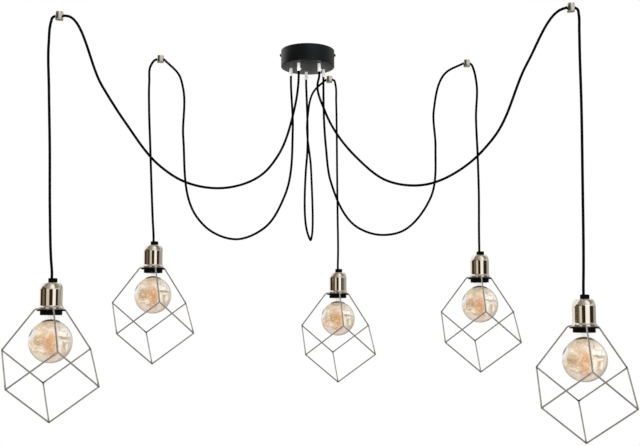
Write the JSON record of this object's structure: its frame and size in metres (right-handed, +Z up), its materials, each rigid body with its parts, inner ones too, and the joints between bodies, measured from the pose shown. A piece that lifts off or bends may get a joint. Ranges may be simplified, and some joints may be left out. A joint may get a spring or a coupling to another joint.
{
  "type": "cluster pendant light",
  "caption": "Spider pendant light: fabric cords swag from a round ceiling canopy to small hooks and hang down to globe bulbs in corner-standing wire cube cages.",
  "frame": {"origin": "centre of the ceiling bracket's top face, on the ceiling, at the centre of the canopy", "axes": "+Z up through the ceiling, +X to the right of someone who faces the lamp, +Y away from them"},
  "size_m": [1.1589, 0.6724, 0.8045],
  "materials": {
    "black_paint": "satin black powder coat",
    "black_plastic": "moulded, slight sheen",
    "black_fabric": "braided textile sleeve",
    "bright_nickel": "polished nickel",
    "satin_nickel": "satin nickel wire",
    "zinc_steel": "zinc plated",
    "ceramic": "white insulating block",
    "white_nylon": "white moulded nylon",
    "cap_metal": "plated screw cap with black insulator",
    "tinted_glass": "champagne mirror tint, patchy reflections"
  },
  "bodies": {
    "root": {"canopy_cup": "black_paint", "canopy_screw_1": "black_paint", "canopy_screw_2": "black_paint", "ceiling_bracket": "zinc_steel", "terminal_block": "ceramic", "cord_grip_1": "white_nylon", "hook_1": "bright_nickel", "swag_cord_1": "black_fabric", "cord_grip_2": "white_nylon", "hook_2": "bright_nickel", "swag_cord_2": "black_fabric", "cord_grip_3": "white_nylon", "hook_3": "bright_nickel", "swag_cord_3": "black_fabric", "cord_grip_4": "white_nylon", "hook_4": "bright_nickel", "swag_cord_4": "black_fabric", "cord_grip_5": "white_nylon", "hook_5": "bright_nickel", "swag_cord_5": "black_fabric"},
    "pendant_1": {"drop_cord_1": "black_fabric", "cord_clamp_1": "black_plastic", "holder_cup_1": "bright_nickel", "bulb_socket_1": "black_plastic", "shade_ring_1": "black_plastic", "cage_1": "satin_nickel"},
    "bulb_cap_1": {"bulb_cap_1": "cap_metal"},
    "bulb_glass_1": {"bulb_glass_1": "tinted_glass"},
    "pendant_2": {"drop_cord_2": "black_fabric", "cord_clamp_2": "black_plastic", "holder_cup_2": "bright_nickel", "bulb_socket_2": "black_plastic", "shade_ring_2": "black_plastic", "cage_2": "satin_nickel"},
    "bulb_cap_2": {"bulb_cap_2": "cap_metal"},
    "bulb_glass_2": {"bulb_glass_2": "tinted_glass"},
    "pendant_3": {"drop_cord_3": "black_fabric", "cord_clamp_3": "black_plastic", "holder_cup_3": "bright_nickel", "bulb_socket_3": "black_plastic", "shade_ring_3": "black_plastic", "cage_3": "satin_nickel"},
    "bulb_cap_3": {"bulb_cap_3": "cap_metal"},
    "bulb_glass_3": {"bulb_glass_3": "tinted_glass"},
    "pendant_4": {"drop_cord_4": "black_fabric", "cord_clamp_4": "black_plastic", "holder_cup_4": "bright_nickel", "bulb_socket_4": "black_plastic", "shade_ring_4": "black_plastic", "cage_4": "satin_nickel"},
    "bulb_cap_4": {"bulb_cap_4": "cap_metal"},
    "bulb_glass_4": {"bulb_glass_4": "tinted_glass"},
    "pendant_5": {"drop_cord_5": "black_fabric", "cord_clamp_5": "black_plastic", "holder_cup_5": "bright_nickel", "bulb_socket_5": "black_plastic", "shade_ring_5": "black_plastic", "cage_5": "satin_nickel"},
    "bulb_cap_5": {"bulb_cap_5": "cap_metal"},
    "bulb_glass_5": {"bulb_glass_5": "tinted_glass"}
  },
  "joints": [
    {"name": "pendant_swing_1", "type": "hinge", "parent": "root", "child": "pendant_1", "pos_m": [-0.46795, -0.24304, -0.0075], "axis": [1, 0, 0], "range_deg": [-12, 12]},
    {"name": "bulb_travel_1", "type": "slide", "parent": "pendant_1", "child": "bulb_cap_1", "axis": [0, 0, -1], "range_m": [0, 0.022]},
    {"name": "bulb_turn_1", "type": "hinge", "parent": "bulb_cap_1", "child": "bulb_glass_1", "pos_m": [-0.47236, -0.24304, -0.62326], "axis": [0, 0, -1], "range_deg": [0, 2160]},
    {"name": "pendant_swing_2", "type": "hinge", "parent": "root", "child": "pendant_2", "pos_m": [-0.32683, 0.03283, -0.0075], "axis": [1, 0, 0], "range_deg": [-12, 12]},
    {"name": "bulb_travel_2", "type": "slide", "parent": "pendant_2", "child": "bulb_cap_2", "axis": [0, 0, -1], "range_m": [0, 0.022]},
    {"name": "bulb_turn_2", "type": "hinge", "parent": "bulb_cap_2", "child": "bulb_glass_2", "pos_m": [-0.33712, 0.03283, -0.53044], "axis": [0, 0, -1], "range_deg": [0, 2160]},
    {"name": "pendant_swing_3", "type": "hinge", "parent": "root", "child": "pendant_3", "pos_m": [0.049, 0.19747, -0.0075], "axis": [1, 0, 0], "range_deg": [-12, 12]},
    {"name": "bulb_travel_3", "type": "slide", "parent": "pendant_3", "child": "bulb_cap_3", "axis": [0, 0, -1], "range_m": [0, 0.022]},
    {"name": "bulb_turn_3", "type": "hinge", "parent": "bulb_cap_3", "child": "bulb_glass_3", "pos_m": [0.06909, 0.19747, -0.58162], "axis": [0, 0, -1], "range_deg": [0, 2160]},
    {"name": "pendant_swing_4", "type": "hinge", "parent": "root", "child": "pendant_4", "pos_m": [0.35721, 0.06517, -0.0075], "axis": [1, 0, 0], "range_deg": [-12, 12]},
    {"name": "bulb_travel_4", "type": "slide", "parent": "pendant_4", "child": "bulb_cap_4", "axis": [0, 0, -1], "range_m": [0, 0.022]},
    {"name": "bulb_turn_4", "type": "hinge", "parent": "bulb_cap_4", "child": "bulb_glass_4", "pos_m": [0.38073, 0.06517, -0.55008], "axis": [0, 0, -1], "range_deg": [0, 2160]},
    {"name": "pendant_swing_5", "type": "hinge", "parent": "root", "child": "pendant_5", "pos_m": [0.49, -0.28714, -0.0075], "axis": [1, 0, 0], "range_deg": [-12, 12]},
    {"name": "bulb_travel_5", "type": "slide", "parent": "pendant_5", "child": "bulb_cap_5", "axis": [0, 0, -1], "range_m": [0, 0.022]},
    {"name": "bulb_turn_5", "type": "hinge", "parent": "bulb_cap_5", "child": "bulb_glass_5", "pos_m": [0.50323, -0.28714, -0.6548], "axis": [0, 0, -1], "range_deg": [0, 2160]}
  ],
  "couplings": [
    {"joint": "bulb_travel_1", "follows": "bulb_turn_1", "m_per_rad": 0.00057757},
    {"joint": "bulb_travel_2", "follows": "bulb_turn_2", "m_per_rad": 0.00057757},
    {"joint": "bulb_travel_3", "follows": "bulb_turn_3", "m_per_rad": 0.00057757},
    {"joint": "bulb_travel_4", "follows": "bulb_turn_4", "m_per_rad": 0.00057757},
    {"joint": "bulb_travel_5", "follows": "bulb_turn_5", "m_per_rad": 0.00057757}
  ]
}
